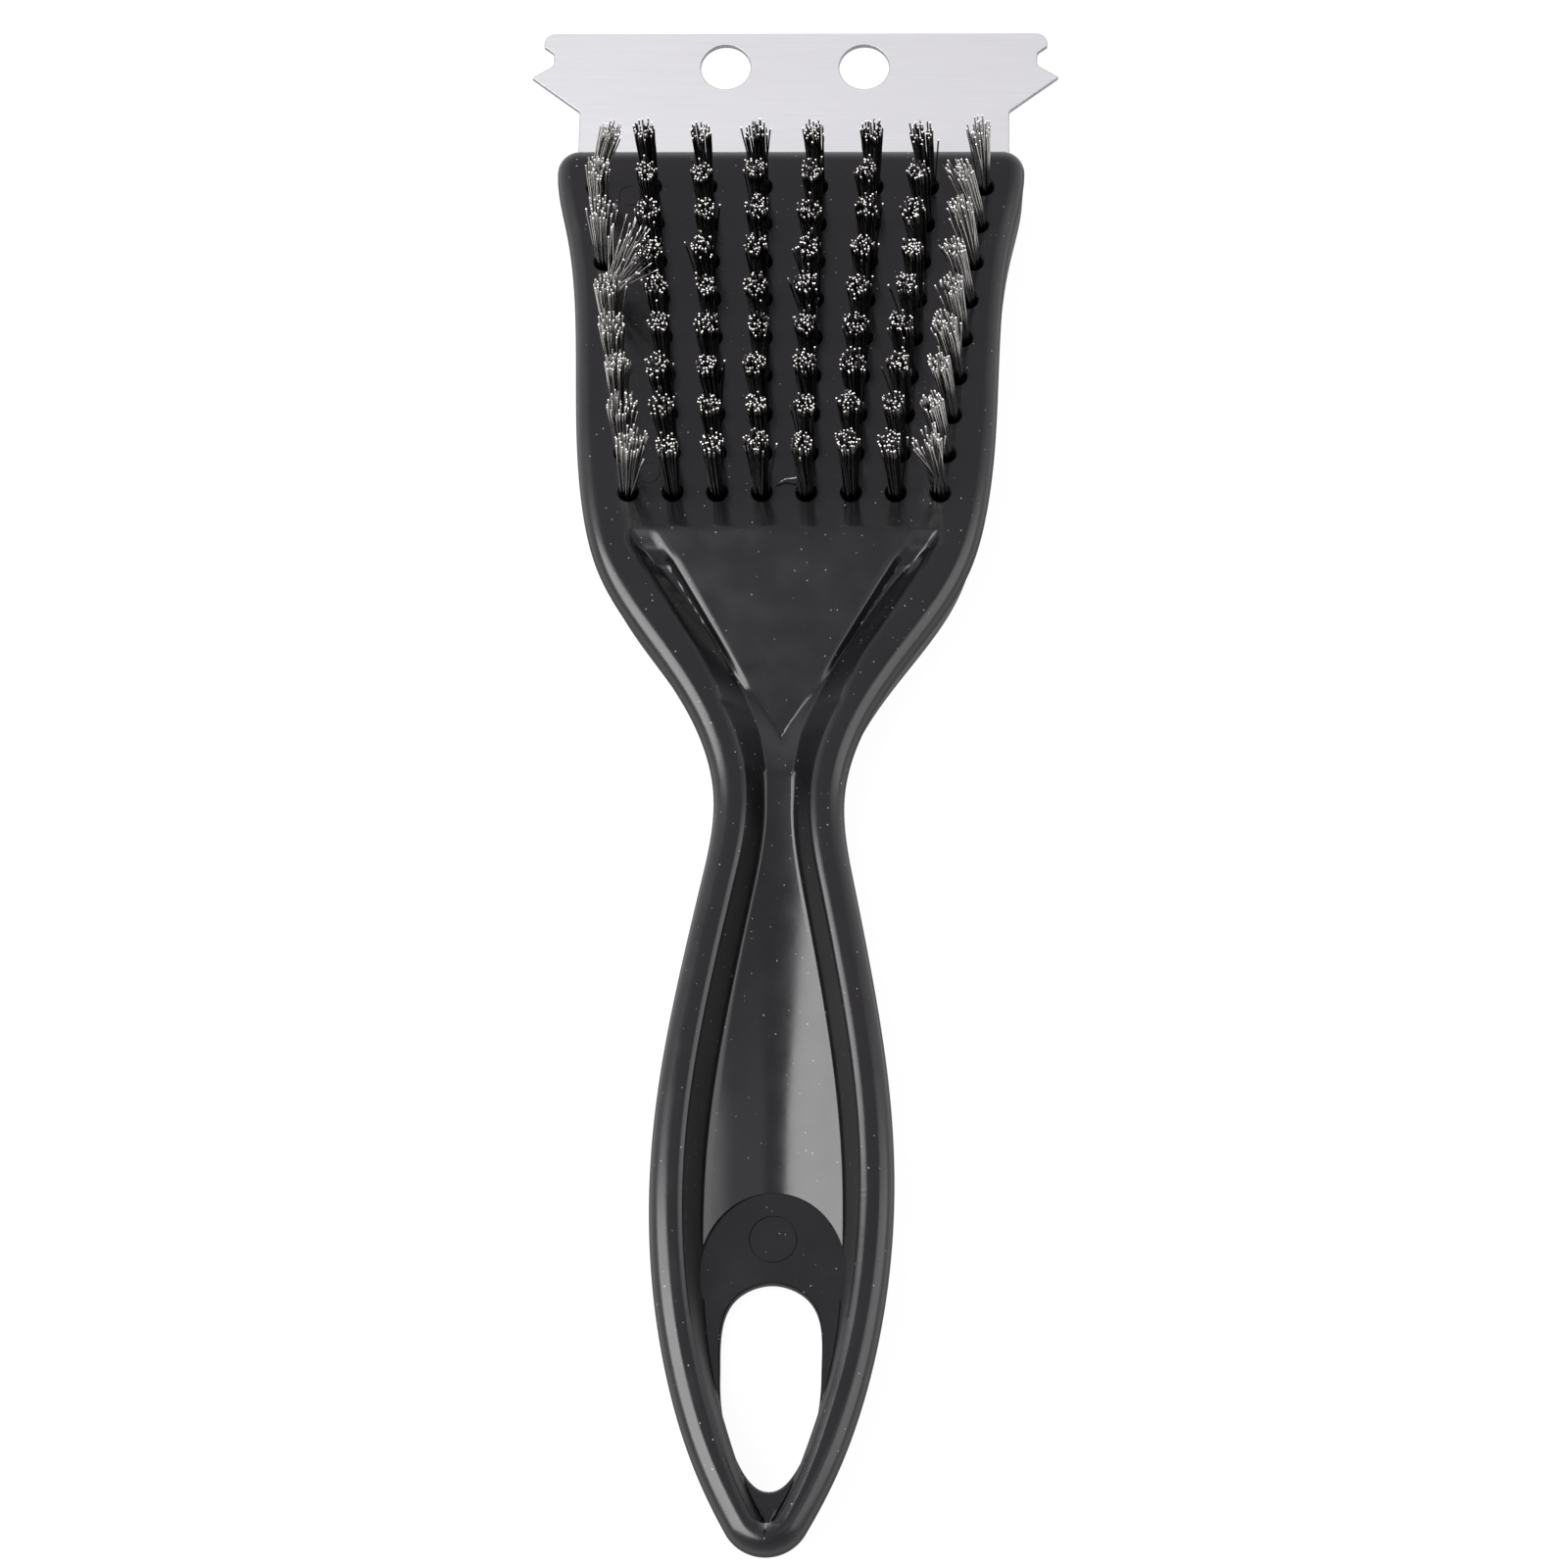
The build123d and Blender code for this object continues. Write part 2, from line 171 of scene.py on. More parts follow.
def curve_through(points, first, last):
    """Dense polyline of a smooth curve through the points, leaving and arriving as given."""
    p = np.array(points, float)
    h = np.linalg.norm(np.diff(p, axis=0), axis=1)
    count = len(p)
    ties, wanted = np.eye(count), np.zeros((count, 2))
    wanted[0], wanted[-1] = first, last
    for i in range(1, count - 1):
        ties[i, i - 1:i + 2] = h[i], 2 * (h[i - 1] + h[i]), h[i - 1]
        before, after = (p[i] - p[i - 1]) / h[i - 1], (p[i + 1] - p[i]) / h[i]
        wanted[i] = 3 * (h[i] * before + h[i - 1] * after)
    slope = np.linalg.solve(ties, wanted)
    pieces = []
    for i in range(count - 1):
        s = np.linspace(0, 1, 60, endpoint=i == count - 2)[:, None]
        pieces.append(hermite(s, h[i], p[i], p[i + 1], slope[i], slope[i + 1]))
    return np.concatenate(pieces)


def smooth_table(points):
    """Function that runs smoothly through (place, value) pairs without overshooting them."""
    x, v = (np.array(c, float) for c in zip(*points))
    rise = np.diff(v) / np.diff(x)
    slope = np.concatenate([[rise[0]], np.zeros(len(x) - 2), [rise[-1]]])
    for i in range(1, len(x) - 1):
        if rise[i - 1] * rise[i] > 0:
            slope[i] = 2 / (1 / rise[i - 1] + 1 / rise[i])

    def at(place_along):
        place_along = min(max(place_along, x[0]), x[-1])
        i = min(int(np.searchsorted(x, place_along, side="right")) - 1, len(x) - 2)
        h = x[i + 1] - x[i]
        return float(hermite((place_along - x[i]) / h, h, v[i], v[i + 1], slope[i], slope[i + 1]))

    return at


def make_object(name, verts, faces, materials):
    """Mesh object from millimetre points, with its faces turned outward."""
    mesh = bpy.data.meshes.new(name)
    mesh.from_pydata([place(*v) for v in verts], [], faces)
    bm = bmesh.new()
    bm.from_mesh(mesh)
    bmesh.ops.recalc_face_normals(bm, faces=bm.faces)
    bm.to_mesh(mesh)
    bm.free()
    for material in materials:
        mesh.materials.append(material)
    piece = bpy.data.objects.new(name, mesh)
    bpy.context.scene.collection.objects.link(piece)
    return piece


def shade(piece, angle):
    """Smooth shading with edges kept sharp past an angle in degrees."""
    mesh = piece.data
    mesh.polygons.foreach_set("use_smooth", [True] * len(mesh.polygons))
    mesh.set_sharp_from_angle(angle=math.radians(angle))
    mesh.update()


def loft(rings, close_ends=True):
    """Points and faces of a tube through equal rings of points."""
    count = len(rings[0])
    verts = [v for ring in rings for v in ring]
    faces = [(r * count + i, r * count + (i + 1) % count,
              (r + 1) * count + (i + 1) % count, (r + 1) * count + i)
             for r in range(len(rings) - 1) for i in range(count)]
    if close_ends:
        last = (len(rings) - 1) * count
        faces.append(tuple(range(count - 1, -1, -1)))
        faces.append(tuple(range(last, last + count)))
    return verts, faces


def joined(solids):
    """One list of points and faces from several."""
    verts, faces = [], []
    for v, f in solids:
        start = len(verts)
        verts += v
        faces += [tuple(start + i for i in face) for face in f]
    return verts, faces


def cut(piece, solids, name):
    """Takes the solids away from the piece."""
    cutter = make_object(name, *joined(solids), [])
    step = piece.modifiers.new("cut", "BOOLEAN")
    step.operation, step.solver, step.object = "DIFFERENCE", "MANIFOLD", cutter
    graph = bpy.context.evaluated_depsgraph_get()
    made = bpy.data.meshes.new_from_object(piece.evaluated_get(graph))
    piece.modifiers.clear()
    old = piece.data
    piece.data = made
    bpy.data.meshes.remove(old)
    bpy.data.objects.remove(cutter)


# ---------------------------------------------------------------- the moulding's outline

def right_side():
    """The right side from the front corner to the arc at the end."""
    points = [(head_half, front_y - head_corner)]
    points += [(mix(waist_half, head_half, w), mix(crease_y, front_y, s)) for s, w in head_flare]
    points.append((waist_half, crease_y + waist_straight))
    points += [(mix(neck_half, waist_half, w), crease_y * s) for s, w in shoulder_curve]
    points.append((neck_half, -neck_straight))
    points += [(mix(neck_half, grip_half, w), end_y * s) for s, w in grip_swell]
    points.append((grip_half, end_y * grip_widest))
    points += [(grip_half * w, end_y * s) for s, w in grip_taper]
    points.append((nose_radius * math.sin(nose_sweep),
                   end_y + nose_radius * (1 - math.cos(nose_sweep))))
    return curve_through(points, (0, -1), (-math.cos(nose_sweep), -math.sin(nose_sweep)))


SIDE = right_side()


def spaced(start, stop, step):
    """Values from start towards stop, about a step apart; stop itself is left out."""
    return np.linspace(start, stop, max(2, round(abs(stop - start) / step) + 1))[:-1]


def side_stations():
    """(point, outward normal) down the right side, close together where the hollow turns."""
    # (where a stretch begins, distance between its stations)
    stretches = [(front_y - head_corner, 1.6), (crease_y + 2, 0.3), (crease_y - 6, 0.45),
                 (web_start + 0.6, 0.14), (web_start - 3, 0.45), (SIDE[-1, 1], None)]
    y = np.concatenate([spaced(start, stop, step)
                        for (start, step), (stop, _) in zip(stretches, stretches[1:])])
    run = np.gradient(SIDE, axis=0)
    x = np.interp(-y, -SIDE[:, 1], SIDE[:, 0])
    slope = np.interp(-y, -SIDE[:, 1], run[:, 0] / run[:, 1])
    found = []
    for px, py, s in zip(x, y, slope):
        stretch = math.hypot(1, s)
        found.append(((px, py), (1 / stretch, -s / stretch)))
    return found


def arc_stations(centre, radius, start, stop, steps):
    """Stations round an arc; angles in radians from +X."""
    made = []
    for i in range(steps):
        a = mix(start, stop, i / steps)
        normal = (math.cos(a), math.sin(a))
        made.append(((centre[0] + radius * normal[0], centre[1] + radius * normal[1]), normal))
    return made


def stations():
    """Right side of the outline after its straight front edge, down to the end's middle."""
    corner = (head_half - head_corner, front_y - head_corner)
    made = arc_stations(corner, head_corner, math.pi / 2, 0, 7)[1:]
    made += side_stations()
    first = -math.pi / 2 + nose_sweep
    made += arc_stations((0, end_y + nose_radius), nose_radius, first, -math.pi / 2, 16)
    return made


# ---------------------------------------------------------------- the hollow in the top

wall_run = smooth_table(wall_runs)
gutter_radius = smooth_table(gutter_radii)
groove_line = smooth_table(groove_easing)
groove_depth = smooth_table(groove_depths)
groove_flat = smooth_table([(y, flat) for y, flat, _ in groove_widths])
groove_wall = smooth_table([(y, wall) for y, _, wall in groove_widths])


def crease_from_side(y):
    """Width of the bead, from the side to the crease inside it."""
    return mix(bead_crease, bead_crease_end, eased(*crease_change, -y))


def back_z(y):
    """Height of the back: hollowed under the neck and turned up at the end."""
    if abs(y) < neck_hollow_half:
        return neck_lift * (0.5 + 0.5 * math.cos(math.pi * y / neck_hollow_half))
    rise = max(0.0, end_y + end_rise - y) / end_rise
    return end_lift * rise**2


def ramp(y):
    """Share of its full drop that the bead's inner side has at y."""
    return 1 - eased(*crease_ramp, y)


def middle_floor(y):
    """Height of the hollow's floor on the middle line, its bends rounded along the brush."""
    ease = 0.5

    def sharp(at):
        if at > crease_y:
            return body_height
        if at > scoop_end:
            return body_height - scoop_slope * (crease_y - at)
        low = body_height - scoop_slope * (crease_y - scoop_end)
        high = body_height - gutter_depth
        if at < web_start:
            return web_z - gutter_fall * (web_start - at)
        if at > gutter_start:
            return mix(low, high, (scoop_end - at) / (scoop_end - gutter_start))
        return high - gutter_fall * (gutter_start - at)

    for bend in (crease_y, scoop_end, gutter_start):
        if abs(y - bend) < ease:
            u = (y - bend + ease) / (2 * ease)
            return ((1 - u)**2 * sharp(bend - ease) + 2 * u * (1 - u) * sharp(bend)
                    + u**2 * sharp(bend + ease))
    return sharp(y)


class Section:
    """Half of the hollow's section across the brush at one y, from the bead to the middle."""

    cells = (7, 4, 7, 4, 5, 4, 7, 10)  # between the key places that columns() lists
    rounding = (0.2, 0.4, 0.35)  # half widths of the roundings at crease, bottom and plate
    flat_insets = (1.7, 4.0)  # where columns meant for the crease and the bottom stand on the head
    samples = 90  # across the section, for its distances from the outline
    gutter_column = 0.45  # place of the gutter's extra column, as a share of its half width
    least_cell = 0.012  # average of the least widths of the cells, as a share of the section

    def __init__(self, y, edge):
        self.y, self.edge = y, edge
        self.in_head = y > crease_y
        self.bead = crease_from_side(y)
        if self.in_head:
            self.crease, self.bottom = (edge - inset for inset in self.flat_insets)
        else:
            self.x = np.linspace(0, edge, self.samples)
            gap = np.hypot(self.x[:, None] - OUTLINE[None, :, 0], y - OUTLINE[None, :, 1])
            self.distance = np.minimum.accumulate(gap.min(axis=1))
            self.crease = self.at_distance(self.bead)
            self.reach = max(0.05, self.at_distance(self.bead - bead_inner_reach) - self.crease)
            self.bottom = self.at_distance(self.bead + wall_run(y))
            if y > gutter_start:
                self.line = self.plate_edge() + groove_inner
                if y < groove_easing[-1][0]:
                    self.line = groove_line(y)
                self.bottom = min(self.line + groove_flat(y), self.crease - least_groove_wall)
                if y > groove_widths[0][0]:
                    self.crease = min(self.crease, self.bottom + groove_wall(y))
        self.bottom = max(self.bottom, 0.0)
        self.middle = middle_floor(y)

    def at_distance(self, wanted):
        """x where the side is this far away."""
        if wanted > self.distance[0]:
            return 0.0
        return float(np.interp(-wanted, -self.distance, self.x))

    def plate_edge(self):
        return max(0.0, plate_spread * (self.y - scoop_end))

    def floor(self, x):
        """Height inside the bottom line."""
        if self.y <= gutter_start:
            return np.maximum(self.middle + x**2 / (2 * gutter_radius(self.y)), web_z)
        groove = body_height - groove_depth(self.y)
        plate = min(self.plate_edge(), self.line)
        share = np.clip((x - plate) / max(self.line - plate, 1e-6), 0, 1)
        return mix(self.middle, groove, share)

    def sharp(self, x):
        """Height of the section before its corners are rounded."""
        x = np.asarray(x, float)
        if self.in_head:
            return np.full_like(x, body_height)
        full = bead_inner_radius - math.sqrt(bead_inner_radius**2 - bead_inner_reach**2)
        across = np.clip((self.crease + self.reach - x) / self.reach, 0, 1) * bead_inner_reach
        drop = (bead_inner_radius - np.sqrt(bead_inner_radius**2 - across**2)) * ramp(self.y)
        bead = body_height - drop
        crease_z = body_height - full * ramp(self.y)
        bottom_z = float(self.floor(np.array([self.bottom]))[0])
        share = np.clip((self.crease - x) / max(self.crease - self.bottom, 1e-6), 0, 1)
        wall = mix(crease_z, bottom_z, share)
        inside = np.where(x > self.bottom, wall, self.floor(x))
        return np.where(x >= self.crease, bead, inside)

    def columns(self):
        """x of each column of the mesh, from the bead's top to the middle."""
        crease_half, bottom_half, plate_half = self.rounding
        edge, half = self.gutter_column * self.bottom, plate_half
        if self.y > gutter_start:
            edge = max(self.plate_edge(), edge)
        keys = [self.edge, self.crease + crease_half, self.crease - crease_half,
                self.bottom + bottom_half, self.bottom - bottom_half,
                edge + half, edge - half, 0.5 * edge, 0.0]
        least = [self.least_cell * self.edge * c / sum(self.cells) for c in self.cells]
        for i in range(len(keys) - 2, 0, -1):
            keys[i] = max(keys[i], keys[i + 1] + least[i])
        for i in range(1, len(keys) - 1):
            keys[i] = min(keys[i], keys[i - 1] - least[i - 1])
        x = [self.edge]
        for high, low, count in zip(keys, keys[1:], self.cells):
            x += [mix(high, low, (k + 1) / count) for k in range(count)]
        return np.array(x)

    def heights(self, x):
        """Heights at x with the corners rounded."""
        z = self.sharp(x)
        if self.in_head:
            return z
        foot = self.rounding[1] * (1 if self.y < gutter_start else 0.5)
        corners = [(self.crease, self.rounding[0]), (self.bottom, foot)]
        if self.y > scoop_end + 1:
            corners.append((self.plate_edge(), self.rounding[2]))
        for corner, half in corners:
            half = min(half, 0.45 * corner)
            if half < 0.02:
                continue
            u = (x - corner + half) / (2 * half)
            a, b, c = (float(self.sharp([p])[0]) for p in (corner - half, corner, corner + half))
            rounded = (1 - u)**2 * a + 2 * u * (1 - u) * b + u**2 * c
            z = np.where((u > 0) & (u < 1), rounded, z)
        return z


def outline_samples():
    """Points all round the moulding's outline, both sides."""
    right = [p for p, _ in STATIONS]
    dense = np.concatenate([SIDE[::2], np.array(right[-16:]), [[0, end_y]]])
    return np.concatenate([dense, dense * [-1, 1]])


STATIONS = stations()
OUTLINE = outline_samples()


# ---------------------------------------------------------------- handle

def ring_profile():
    """(inset from the side, height, share of the back's lift and of the side's draft) over the
    bead's outer side, down the wall and round the back's edge."""
    radius = bead_outer_radius
    top = [(radius * (1 - math.cos(a)), body_height - radius * (1 - math.sin(a)), 0, 0)
           for a in np.linspace(math.pi / 2, 0, 10)]
    widest, low = body_height - radius, back_radius + 0.4
    wall = [(-parting_ridge, widest - ridge_top, 0, 0), (ridge_step, widest - ridge_foot, 0.02, 0.03)]
    wall += [(0, mix(widest, low, share), share, share) for share in (0.35, 0.7)]
    back = [(back_radius * (1 - math.cos(a)), back_radius * (1 - math.sin(a)), 1, 1)
            for a in np.linspace(0, math.pi / 2, 8)]
    return [(inset + parting_ridge, *rest) for inset, *rest in top + wall + back]


def draft(y):
    """How far the side leans in by the time it reaches the back."""
    return mix(head_draft, handle_draft, 1 - eased(*draft_change, y))


def handle_mesh():
    """Outer side swept round the outline, with the top and the back laid across inside it."""
    profile = ring_profile()
    inner = profile[0][0]
    corner_x = head_half - head_corner
    front = Section(front_y - inner, corner_x).columns()
    right = [((x, front_y), (0.0, 1.0)) for x in front[::-1]]
    half = len(front)
    right += STATIONS
    tip = ((0.0, end_y), (0.0, -1.0))
    verts, faces = [], []

    def ring(point, normal, side):
        made = []
        for inset, z, lift_share, draft_share in profile:
            inset += draft_share * draft(point[1])
            x, y = point[0] - inset * normal[0], point[1] - inset * normal[1]
            made.append(len(verts))
            verts.append((side * x, y, z + lift_share * back_z(y)))
        return made

    right_rings = [ring(p, n, 1) for p, n in right]
    left_rings = [right_rings[0]] + [ring(p, n, -1) for p, n in right[1:]]
    tip_ring = ring(*tip, 1)
    right_rings.append(tip_ring)
    left_rings.append(tip_ring)
    for rings, flip in ((right_rings, False), (left_rings, True)):
        for a, b in zip(rings, rings[1:]):
            for k in range(len(profile) - 1):
                quad = (a[k], a[k + 1], b[k + 1], b[k])
                faces.append(quad[::-1] if flip else quad)

    def across(k, skip, height, upward):
        """Fills between the two sides' k-th ring points with rows across the brush."""
        first = ([left_rings[i][k] for i in range(half - 1, 0, -1)]
                 + [right_rings[i][k] for i in range(half)])
        rows = [first[::skip]]
        between = [first[i:i + skip + 1] for i in range(0, len(first) - 1, skip)]
        for right_ring, left_ring in zip(right_rings[half:-1], left_rings[half:-1]):
            edge, y = verts[right_ring[k]][:2]
            section = Section(y, edge)
            x = section.columns()[::skip]
            z = height(section, x)
            left_part, right_part = [left_ring[k]], []
            for xi, zi in zip(x[1:-1], z[1:-1]):
                left_part.append(len(verts))
                verts.append((-xi, y, zi))
                right_part.append(len(verts))
                verts.append((xi, y, zi))
            left_part.append(len(verts))
            verts.append((0.0, y, z[-1]))
            rows.append(left_part + right_part[::-1] + [right_ring[k]])
        for a, b in zip(rows, rows[1:]):
            for i in range(len(a) - 1):
                side = between[i] if a is rows[0] else [a[i], a[i + 1]]
                face = [*side, b[i + 1], b[i]]
                faces.append(tuple(face[::-1]) if upward else tuple(face))
        last = rows[-1]
        for i in range(len(last) - 1):
            face = (last[i], last[i + 1], tip_ring[k])
            faces.append(face[::-1] if upward else face)

    across(0, 1, lambda section, x: section.heights(x), True)
    across(len(profile) - 1, 4, lambda section, x: [back_z(section.y)] * len(x), False)
    return verts, faces


def round_cutter(x, y, levels, sides=24):
    """Turned cutter; levels are (height, radius)."""
    rings = [[(x + r * math.cos(2 * math.pi * i / sides), y + r * math.sin(2 * math.pi * i / sides), z)
              for i in range(sides)] for z, r in levels]
    return loft(rings)


def column_pitch(y):
    """Distance between the tufts of one row; it grows evenly towards the front."""
    return mix(pitch_back, pitch_front, (y - row_y[0]) / (row_y[-1] - row_y[0]))


def tuft_spots(row):
    """Centres of the tufts of one row, from left to right."""
    y = row_y[row]
    return [((i - (tuft_columns - 1) / 2) * column_pitch(y), y) for i in range(tuft_columns)]


def screw_spots():
    """Centres of the scraper's screws, which stand between tufts."""
    y = row_y[-1] - 1.5 * row_pitch
    return [(side * 2 * column_pitch(y), y) for side in (-1, 1)]


def egg(grow=0.0):
    """Outline of the hang hole, wide towards the neck."""
    top, bottom = hole_top, hole_top - hole_length
    widest, spacing = mix(top, bottom, hole_widest), 0.3
    shoulder = (hole_half * hole_shoulder[0], top - hole_shoulder[1])
    heel = (hole_half * hole_heel[0], bottom + hole_heel[1])
    upper = curve_through([(0, top), shoulder, (hole_half, widest)], (1, 0), (0, -1))
    lower = curve_through([(hole_half, widest), heel, (0, bottom)], (0, -1), (-1, 0))
    right = np.concatenate([upper[::4], lower[::4]])
    keep = [right[0]]
    for p in right[1:]:
        if np.linalg.norm(p - keep[-1]) > spacing:
            keep.append(p)
    keep = np.array(keep[:-1] + [np.array([0, bottom])])
    run = np.gradient(keep, axis=0)
    normal = np.stack([-run[:, 1], run[:, 0]], axis=1)
    normal /= np.linalg.norm(normal, axis=1)[:, None]
    normal[0], normal[-1] = (0, 1), (0, -1)
    grown = keep + grow * normal
    left = grown[1:-1][::-1] * [-1, 1]
    return np.concatenate([grown, left])


def within_walls(x, y, past):
    """Pulls x in to this far past the foot of the hollow's wall, or short of it if negative."""
    edge = float(np.interp(-y, -SIDE[:, 1], SIDE[:, 0]))
    return math.copysign(min(abs(x), Section(y, edge).bottom + past), x)


def hang_hole_cutter():
    """Its edge is rounded over on both faces of the web and stops short of the hollow's walls."""
    rim, back = hole_rim, hole_back
    short, flare = 0.3, rim * 0.75
    levels = [(back * (1 - math.cos(a)), back * (1 - math.sin(a))) for a in np.linspace(0, 1.4, 7)]
    levels = [(-cut_past, back)] + levels + [(web_z - rim, 0.0)]
    levels += [(web_z - rim * (1 - math.sin(a)), rim * (1 - math.cos(a))) for a in (0.4, 0.8, 1.15)]
    levels += [(web_z + 0.1, flare), (body_height + 2 * cut_past, flare)]
    return loft([[(within_walls(x, y, -short) if z > web_z - rim else x, y, z) for x, y in egg(grow)]
                 for z, grow in levels])


def web_recess_cutter():
    """The web's end towards the neck, half an ellipse that runs out down both walls."""
    lead = 0.3  # of the arch, ahead of the line where the gutter's floor comes down to the web
    bite, last_bite = 0.15, 0.02  # into the feet of the walls, and what is left of it at the tail
    closing, under_bead = 0.8, 4.0
    runs = np.concatenate([arch_length * (1 - np.cos(np.linspace(0, math.pi / 2, 26))),
                           np.linspace(arch_length, arch_tail, 9)[1:]])
    right = []
    for run in runs:
        x = arch_half * math.sqrt(max(0.0, 1 - max(0.0, 1 - run / arch_length)**2))
        y = web_start + lead - run
        right.append((within_walls(x, y, bite * eased(arch_tail, arch_length, run) + last_bite), y))
    end = right[-1][1] - closing
    right.append((within_walls(arch_half, end, -closing), end))
    ring = right + [(-x, y) for x, y in reversed(right[1:])]
    return loft([[(x, y, z) for x, y in ring] for z in (web_z - web_recess, body_height - under_bead)])


def box_cutter(low, high, corner):
    """Box with rounded upright corners."""
    ring = []
    for sx, sy, start in ((1, 1, 0), (-1, 1, 90), (-1, -1, 180), (1, -1, 270)):
        cx = (high[0] if sx > 0 else low[0]) - sx * corner
        cy = (high[1] if sy > 0 else low[1]) - sy * corner
        for i in range(5):
            a = math.radians(start + 22.5 * i)
            ring.append((cx + corner * math.cos(a), cy + corner * math.sin(a)))
    return loft([[(x, y, z) for x, y in ring] for z in (low[2], high[2])])


def ring_mark(x, y, z, diameter):
    """Shallow ring left by an ejector or an insert, cut by a thin ring of diamond section."""
    steps, width = 48, 0.1
    diamond = ((1.0, 0.4), (0, 1.5), (-1.0, 0.4), (0, -0.6))  # outwards and up, in widths
    rings = []
    for i in range(steps):
        a = 2 * math.pi * i / steps
        rings.append([(x + (diameter / 2 + width * u) * math.cos(a),
                       y + (diameter / 2 + width * u) * math.sin(a), z + width * v) for u, v in diamond])
    points, faces = loft(rings, close_ends=False)
    last = (steps - 1) * 4
    faces += [(last + i, last + (i + 1) % 4, (i + 1) % 4, i) for i in range(4)]
    return points, faces


def handle(plastic):
    """Handle and head, one moulding."""
    verts, faces = handle_mesh()
    piece = make_object("handle_moulding", verts, faces, [plastic])
    top, mouth = body_height, tuft_hole_radius + tuft_hole_lead_in
    levels = [(top - tuft_hole_depth, tuft_hole_radius), (top - tuft_hole_lead_in, tuft_hole_radius),
              (top, mouth), (top + cut_past, mouth)]
    holes = [round_cutter(x, y, levels) for row in range(tuft_rows) for x, y in tuft_spots(row)]
    cut(piece, holes, "tuft_holes")
    cut(piece, [web_recess_cutter()], "web_recess")
    cut(piece, [hang_hole_cutter()], "hang_hole")
    for i, (x, y, z, diameter) in enumerate(mould_rings):
        cut(piece, [ring_mark(x, y, z, diameter)], f"mould_ring_{i}")
    seat = box_cutter((-seat_half, front_y - seat_length, -cut_past),
                      (seat_half, front_y + 4 * cut_past, seat_depth), seat_corner)
    cut(piece, [seat], "scraper_seat")
    levels = [(seat_depth - pilot_start, pilot_radius), (seat_depth + pilot_depth, pilot_radius)]
    cut(piece, [round_cutter(x, y, levels) for x, y in screw_spots()], "screw_pilots")
    shade(piece, 32)
    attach(piece, "root")
    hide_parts("handle")
    return piece


# ---------------------------------------------------------------- materials

per_mm = 1 / MM  # scale of a pattern that repeats every millimetre


def colour(code):
    """sRGB hex to linear RGBA."""
    parts = [int(code[i:i + 2], 16) / 255 for i in (1, 3, 5)]
    return (*[c / 12.92 if c <= 0.04045 else ((c + 0.055) / 1.055)**2.4 for c in parts], 1)


def add(tree, kind, settings=None, links=None):
    """Adds a node; settings are its properties or input values, links its inputs' sources."""
    node = tree.nodes.new(kind)
    for name, value in (settings or {}).items():
        if isinstance(name, str) and hasattr(node, name):
            setattr(node, name, value)
        else:
            node.inputs[name].default_value = value
    for name, source in (links or {}).items():
        tree.links.new(source, node.inputs[name])
    return node


def material(name):
    """New material with one shader, its nodes and that shader."""
    made = bpy.data.materials.new(name)
    made.use_nodes = True
    tree = made.node_tree
    tree.nodes.clear()
    surface = add(tree, "ShaderNodeBsdfPrincipled")
    add(tree, "ShaderNodeOutputMaterial", {}, {"Surface": surface.outputs[0]})
    return made, tree, surface


def ramp_between(tree, source, stops):
    """Colour ramp with (place, colour) stops."""
    node = add(tree, "ShaderNodeValToRGB", {}, {"Fac": source})
    node.color_ramp.elements[0].position, node.color_ramp.elements[0].color = stops[0]
    node.color_ramp.elements[1].position, node.color_ramp.elements[1].color = stops[-1]
    for place_on_ramp, shade_there in stops[1:-1]:
        node.color_ramp.elements.new(place_on_ramp).color = shade_there
    return node


